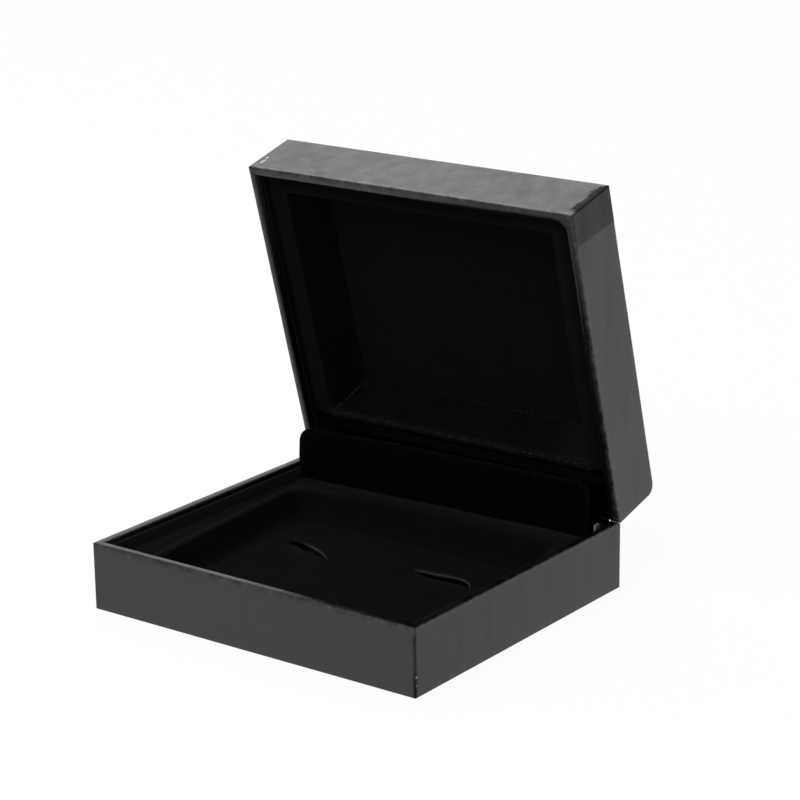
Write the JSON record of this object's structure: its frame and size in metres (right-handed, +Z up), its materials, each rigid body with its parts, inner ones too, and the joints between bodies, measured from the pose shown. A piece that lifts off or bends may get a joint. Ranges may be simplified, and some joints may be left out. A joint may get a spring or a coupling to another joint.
{
  "type": "cufflink display box",
  "caption": "Hinged display box for cufflinks: leatherette-covered base and lid, flocked inserts, slit pad, hinge cover card and a concealed spring hinge.",
  "frame": {"origin": "centre of the base's underside, on the face the box rests on", "axes": "+X to the right along the front edge, +Y from the front to the hinge at the back, +Z up; drawn with the lid open at 75 degrees"},
  "size_m": [0.08, 0.0823, 0.0848],
  "materials": {
    "leatherette": "satin",
    "board": "matte",
    "velvet": "matte",
    "card_cloth": "matte",
    "bottom_paper": "matte",
    "foam": "matte",
    "hinge_steel": "satin",
    "spring_steel": "satin"
  },
  "bodies": {
    "base": {"base_bottom_board": "board", "base_front_board": "board", "base_back_board": "board", "base_left_board": "board", "base_right_board": "board", "base_front_wrap": "leatherette", "base_back_wrap": "leatherette", "base_left_wrap": "leatherette", "base_right_wrap": "leatherette", "base_front_lining": "velvet", "base_left_lining": "velvet", "base_right_lining": "velvet", "base_insert_frame": "velvet", "cufflink_pad": "velvet", "hinge_cover_card": "card_cloth", "base_bottom_sheet": "bottom_paper", "pad_support_foam": "foam", "hinge_base_leaf": "hinge_steel", "hinge_pin": "hinge_steel", "hinge_base_rivets": "hinge_steel", "hinge_snap_springs": "spring_steel"},
    "lid": {"lid_top_board": "board", "lid_front_board": "board", "lid_back_board": "board", "lid_left_board": "board", "lid_right_board": "board", "lid_front_wrap": "leatherette", "lid_left_wrap": "leatherette", "lid_right_wrap": "leatherette", "lid_top_wrap": "leatherette", "lid_front_lining": "velvet", "lid_left_lining": "velvet", "lid_right_lining": "velvet", "lid_back_lining": "velvet", "lid_insert_frame": "velvet", "lid_pad": "velvet", "lid_pad_foam": "foam", "hinge_lid_leaf": "hinge_steel", "hinge_lid_rivets": "hinge_steel"}
  },
  "joints": [
    {"name": "lid_hinge", "type": "hinge", "parent": "base", "child": "lid", "pos_m": [0, 0.0343, 0.01435], "axis": [-1, 0, 0], "range_deg": [-75, 0]}
  ]
}
